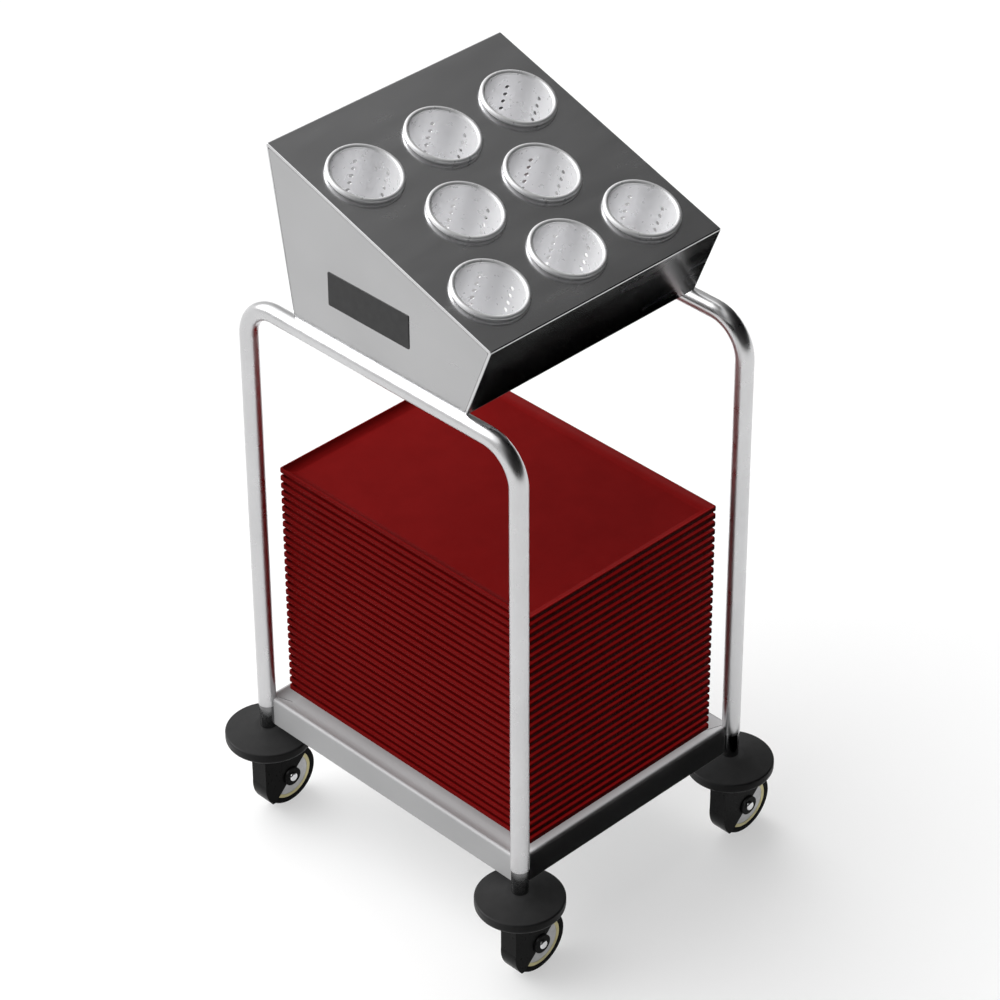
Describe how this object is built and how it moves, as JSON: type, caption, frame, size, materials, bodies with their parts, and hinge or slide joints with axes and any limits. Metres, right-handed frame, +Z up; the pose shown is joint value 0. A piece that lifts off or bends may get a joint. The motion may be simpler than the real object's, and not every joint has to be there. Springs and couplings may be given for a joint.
{
  "type": "cutlery trolley",
  "caption": "Tubular steel trolley with a dished tray shelf on swivel castors, a pile of stacking trays and a sloping box of lift-out perforated cutlery cups.",
  "frame": {"origin": "on the floor under the middle of the four legs", "axes": "+Z up, -Y towards the user at the low front edge of the cutlery box, +X to the right of a person who faces the front and looks along +Y"},
  "size_m": [0.5965, 0.683, 1.2106],
  "materials": {
    "tube": "satin",
    "sheet": "fine satin, faintly mirroring",
    "plate": "smooth",
    "zinc": "zinc plated",
    "sleeve": "glossy",
    "cup": "polished",
    "tray": "fine grain",
    "disc": "smooth",
    "hood": "satin",
    "axle": "bright",
    "rim": "smooth",
    "cover": "zinc plated",
    "tyre": "smooth"
  },
  "bodies": {
    "frame": {"hoop_left": "tube", "hoop_right": "tube", "base_shelf": "sheet", "box_wrap": "sheet", "box_side_left": "sheet", "box_side_right": "sheet", "side_plate": "plate", "box_tabs": "zinc", "box_nuts": "zinc", "castor_sleeves": "sleeve", "castor_stems": "zinc", "stem_rings": "zinc", "thrust_washers": "zinc"},
    "cup_front_left": {"cup_front_left": "cup"},
    "cup_front_middle": {"cup_front_middle": "cup"},
    "cup_front_right": {"cup_front_right": "cup"},
    "cup_middle_left": {"cup_middle_left": "cup"},
    "cup_middle_right": {"cup_middle_right": "cup"},
    "cup_back_left": {"cup_back_left": "cup"},
    "cup_back_middle": {"cup_back_middle": "cup"},
    "cup_back_right": {"cup_back_right": "cup"},
    "tray_stack": {"tray_stack": "tray"},
    "top_tray": {"top_tray": "tray"},
    "disc_front_left": {"bumper_disc_front_left": "disc"},
    "swivel_front_left": {"castor_hood_front_left": "hood", "axle_front_left": "axle"},
    "wheel_front_left": {"wheel_rim_front_left": "rim", "hub_covers_front_left": "cover", "tyre_front_left": "tyre"},
    "disc_front_right": {"bumper_disc_front_right": "disc"},
    "swivel_front_right": {"castor_hood_front_right": "hood", "axle_front_right": "axle"},
    "wheel_front_right": {"wheel_rim_front_right": "rim", "hub_covers_front_right": "cover", "tyre_front_right": "tyre"},
    "disc_back_left": {"bumper_disc_back_left": "disc"},
    "swivel_back_left": {"castor_hood_back_left": "hood", "axle_back_left": "axle"},
    "wheel_back_left": {"wheel_rim_back_left": "rim", "hub_covers_back_left": "cover", "tyre_back_left": "tyre"},
    "disc_back_right": {"bumper_disc_back_right": "disc"},
    "swivel_back_right": {"castor_hood_back_right": "hood", "axle_back_right": "axle"},
    "wheel_back_right": {"wheel_rim_back_right": "rim", "hub_covers_back_right": "cover", "tyre_back_right": "tyre"}
  },
  "joints": [
    {"name": "cup_front_left_lift", "type": "slide", "parent": "frame", "child": "cup_front_left", "axis": [0, -0.3097, 0.9508], "range_m": [0, 0.16]},
    {"name": "cup_front_middle_lift", "type": "slide", "parent": "frame", "child": "cup_front_middle", "axis": [0, -0.3097, 0.9508], "range_m": [0, 0.16]},
    {"name": "cup_front_right_lift", "type": "slide", "parent": "frame", "child": "cup_front_right", "axis": [0, -0.3097, 0.9508], "range_m": [0, 0.16]},
    {"name": "cup_middle_left_lift", "type": "slide", "parent": "frame", "child": "cup_middle_left", "axis": [0, -0.3097, 0.9508], "range_m": [0, 0.16]},
    {"name": "cup_middle_right_lift", "type": "slide", "parent": "frame", "child": "cup_middle_right", "axis": [0, -0.3097, 0.9508], "range_m": [0, 0.16]},
    {"name": "cup_back_left_lift", "type": "slide", "parent": "frame", "child": "cup_back_left", "axis": [0, -0.3097, 0.9508], "range_m": [0, 0.16]},
    {"name": "cup_back_middle_lift", "type": "slide", "parent": "frame", "child": "cup_back_middle", "axis": [0, -0.3097, 0.9508], "range_m": [0, 0.16]},
    {"name": "cup_back_right_lift", "type": "slide", "parent": "frame", "child": "cup_back_right", "axis": [0, -0.3097, 0.9508], "range_m": [0, 0.16]},
    {"name": "tray_stack_lift", "type": "slide", "parent": "frame", "child": "tray_stack", "axis": [0, 0, 1], "range_m": [0, 0.12]},
    {"name": "top_tray_lift", "type": "slide", "parent": "tray_stack", "child": "top_tray", "axis": [0, 0, 1], "range_m": [0, 0.18]},
    {"name": "disc_front_left_turn", "type": "hinge", "parent": "frame", "child": "disc_front_left", "pos_m": [-0.225, -0.274, 0.1334], "axis": [0, 0, 1], "continuous": true},
    {"name": "castor_front_left_swivel", "type": "hinge", "parent": "frame", "child": "swivel_front_left", "pos_m": [-0.225, -0.274, 0.131], "axis": [0, 0, 1], "continuous": true},
    {"name": "wheel_front_left_roll", "type": "hinge", "parent": "swivel_front_left", "child": "wheel_front_left", "pos_m": [-0.1965, -0.274, 0.0505], "axis": [0, 1, 0], "continuous": true},
    {"name": "disc_front_right_turn", "type": "hinge", "parent": "frame", "child": "disc_front_right", "pos_m": [0.225, -0.274, 0.1334], "axis": [0, 0, 1], "continuous": true},
    {"name": "castor_front_right_swivel", "type": "hinge", "parent": "frame", "child": "swivel_front_right", "pos_m": [0.225, -0.274, 0.131], "axis": [0, 0, 1], "continuous": true},
    {"name": "wheel_front_right_roll", "type": "hinge", "parent": "swivel_front_right", "child": "wheel_front_right", "pos_m": [0.2535, -0.274, 0.0505], "axis": [0, 1, 0], "continuous": true},
    {"name": "disc_back_left_turn", "type": "hinge", "parent": "frame", "child": "disc_back_left", "pos_m": [-0.225, 0.274, 0.1334], "axis": [0, 0, 1], "continuous": true},
    {"name": "castor_back_left_swivel", "type": "hinge", "parent": "frame", "child": "swivel_back_left", "pos_m": [-0.225, 0.274, 0.131], "axis": [0, 0, 1], "continuous": true},
    {"name": "wheel_back_left_roll", "type": "hinge", "parent": "swivel_back_left", "child": "wheel_back_left", "pos_m": [-0.1965, 0.274, 0.0505], "axis": [0, 1, 0], "continuous": true},
    {"name": "disc_back_right_turn", "type": "hinge", "parent": "frame", "child": "disc_back_right", "pos_m": [0.225, 0.274, 0.1334], "axis": [0, 0, 1], "continuous": true},
    {"name": "castor_back_right_swivel", "type": "hinge", "parent": "frame", "child": "swivel_back_right", "pos_m": [0.225, 0.274, 0.131], "axis": [0, 0, 1], "continuous": true},
    {"name": "wheel_back_right_roll", "type": "hinge", "parent": "swivel_back_right", "child": "wheel_back_right", "pos_m": [0.2535, 0.274, 0.0505], "axis": [0, 1, 0], "continuous": true}
  ]
}
